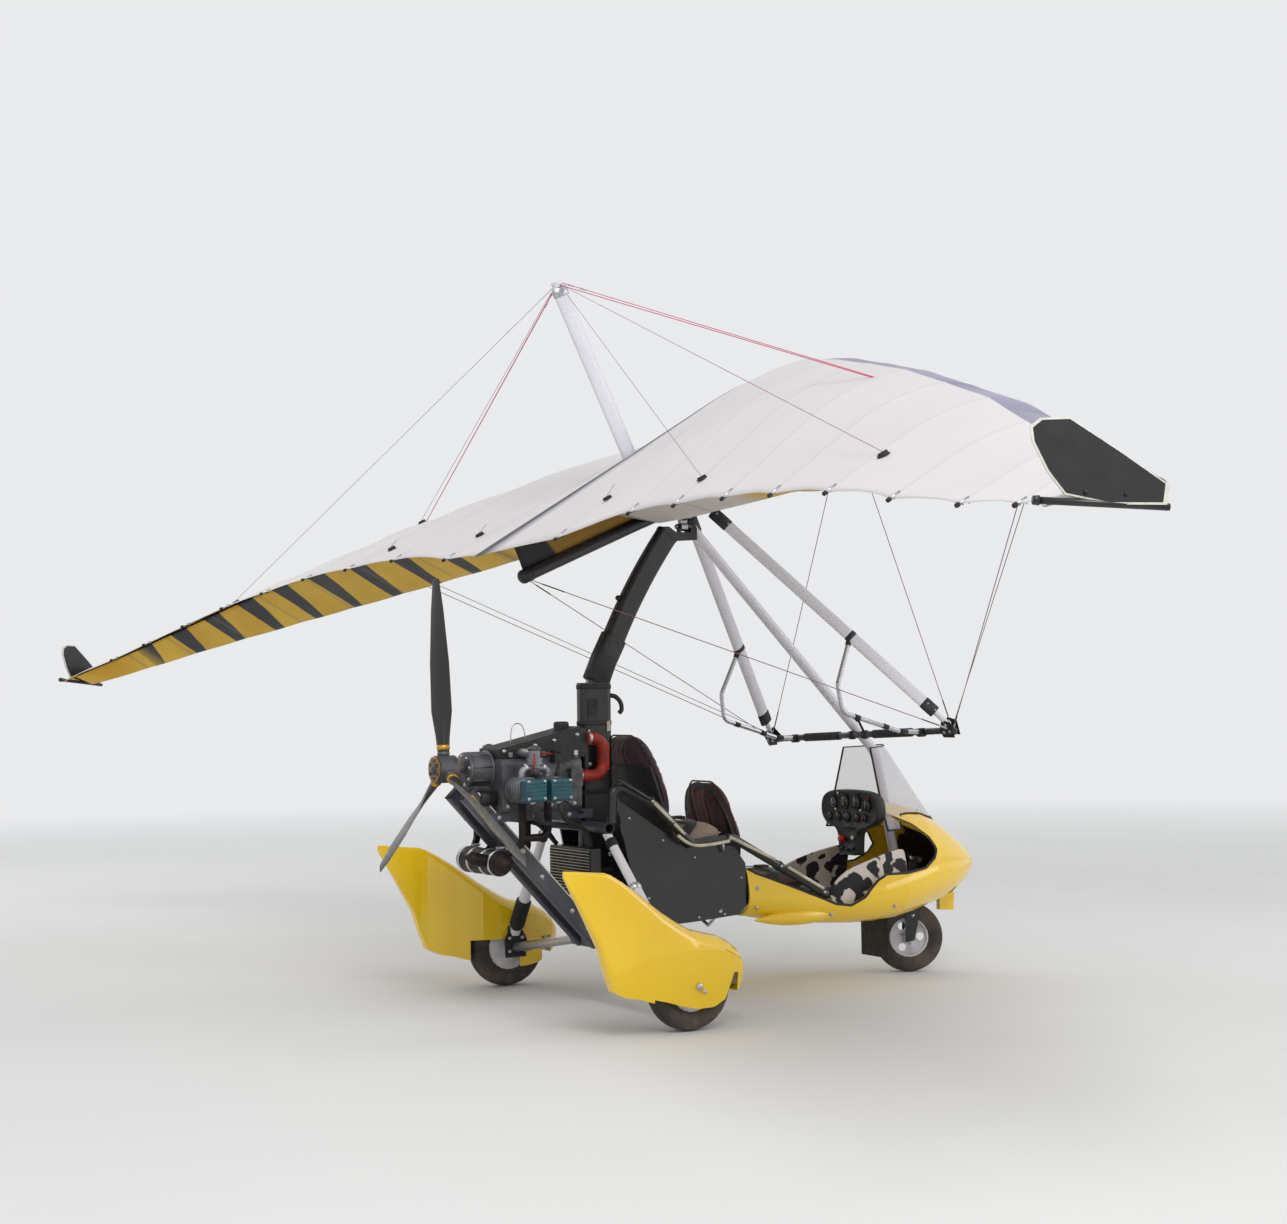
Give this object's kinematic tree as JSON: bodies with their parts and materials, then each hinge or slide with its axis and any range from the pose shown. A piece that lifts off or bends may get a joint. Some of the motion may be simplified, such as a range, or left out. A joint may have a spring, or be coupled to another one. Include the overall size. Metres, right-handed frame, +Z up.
{
  "type": "weight-shift ultralight aircraft",
  "caption": "Weight-shift ultralight aircraft: a three-wheeled open pod with tandem seats and a pusher propeller, hung from a king-posted flex wing with winglets.",
  "frame": {"origin": "on the ground under the middle of the whole aircraft's box, 0.538 m ahead of the main axle", "axes": "+X forward to the nose, +Y to the left wing, +Z up"},
  "size_m": [3.5591, 9.2877, 3.4108],
  "materials": {
    "yellow_shell": "moulded shell, gloss",
    "black_panel": "moulded panel, gloss",
    "black_plastic": "moulded, matt",
    "black_tube": "black coated tube",
    "dark_beam": "grey coated section",
    "silver_tube": "bare tube, satin",
    "white_tube": "white faired tube, satin",
    "engine_alloy": "cast, dull",
    "cover_teal": "painted castings",
    "steel_dark": "black powder coat",
    "steel_bolt": "plated",
    "silencer": "heat dulled",
    "hose_red": "braided hose",
    "tyre": "worn rubber",
    "rim_white": "painted white",
    "rubber": "sheet rubber",
    "seat_brown": "woven covers",
    "seat_beige": "woven covers",
    "screen": "clear moulded sheet",
    "prop_black": "moulded blades",
    "sail_white": "sailcloth",
    "sail_under": "sailcloth",
    "pocket": "sailcloth",
    "winglet": "laminate fin"
  },
  "bodies": {
    "trike": {"keel_beam": "dark_beam", "mast_lower": "black_tube", "mast_upper": "black_tube", "mast_head": "steel_dark", "front_strut": "white_tube", "cross_tube": "dark_beam", "side_rails": "black_tube", "rear_frame": "dark_beam", "engine_bearers": "dark_beam", "engine_block": "engine_alloy", "gearbox": "engine_alloy", "cylinders": "engine_alloy", "rocker_covers": "cover_teal", "intake_box": "black_plastic", "intake_hose": "hose_red", "radiator": "black_tube", "exhaust": "silencer", "gear_arms": "silver_tube", "suspension_struts": "silver_tube", "spat_left": "yellow_shell", "spat_right": "yellow_shell", "pod": "yellow_shell", "side_panels": "black_panel", "seat_pan": "black_plastic", "front_seat_base": "seat_beige", "front_seat_back": "seat_brown", "rear_seat_base": "seat_brown", "rear_seat_back": "seat_brown", "instrument_panel": "black_plastic", "windscreen": "screen", "mud_flap": "rubber"},
    "steering": {"nose_fork": "steel_dark"},
    "nose_wheel": {"nose_tyre": "tyre", "nose_rim": "rim_white"},
    "wheel_left": {"main_tyre_left": "tyre", "main_rim_left": "rim_white"},
    "wheel_right": {"main_tyre_right": "tyre", "main_rim_right": "rim_white"},
    "propeller": {"propeller_hub": "engine_alloy", "blades": "prop_black"},
    "hang_block": {"hang_block": "silver_tube"},
    "wing": {"keel_tube": "silver_tube", "leading_edges": "silver_tube", "nose_plates": "silver_tube", "crossbars": "silver_tube", "king_post": "white_tube", "apex_bracket": "steel_dark", "uprights": "white_tube", "base_bar": "steel_dark", "training_bars": "steel_dark", "sail_upper_left": "sail_white", "sail_upper_right": "sail_white", "sail_lower_left": "sail_under", "sail_lower_right": "sail_under", "keel_pocket": "pocket", "winglets": "winglet", "upper_stays": "steel_bolt", "lower_stays": "steel_bolt"}
  },
  "joints": [
    {"name": "steering", "type": "hinge", "parent": "trike", "child": "steering", "pos_m": [1.415, 0, 0.47], "axis": [0, 0, 1], "range_deg": [-8, 68]},
    {"name": "nose_wheel_spin", "type": "hinge", "parent": "steering", "child": "nose_wheel", "pos_m": [1.38036, 0.02, 0.177], "axis": [0.5, 0.866, 0], "continuous": true},
    {"name": "wheel_left_spin", "type": "hinge", "parent": "trike", "child": "wheel_left", "pos_m": [-0.513, 0.85, 0.195], "axis": [0, 1, 0], "continuous": true},
    {"name": "wheel_right_spin", "type": "hinge", "parent": "trike", "child": "wheel_right", "pos_m": [-0.513, -0.85, 0.195], "axis": [0, 1, 0], "continuous": true},
    {"name": "propeller_spin", "type": "hinge", "parent": "trike", "child": "propeller", "pos_m": [-1.253, 0, 1.121], "axis": [1, 0, 0], "continuous": true},
    {"name": "wing_roll", "type": "hinge", "parent": "trike", "child": "hang_block", "pos_m": [0.03764, 0, 2.24918], "axis": [1, 0, 0], "range_deg": [-12.65, 17.35]},
    {"name": "wing_pitch", "type": "hinge", "parent": "hang_block", "child": "wing", "pos_m": [0.03764, 0.0018, 2.29314], "axis": [0, 0.9992, -0.041], "range_deg": [0, 25]}
  ]
}
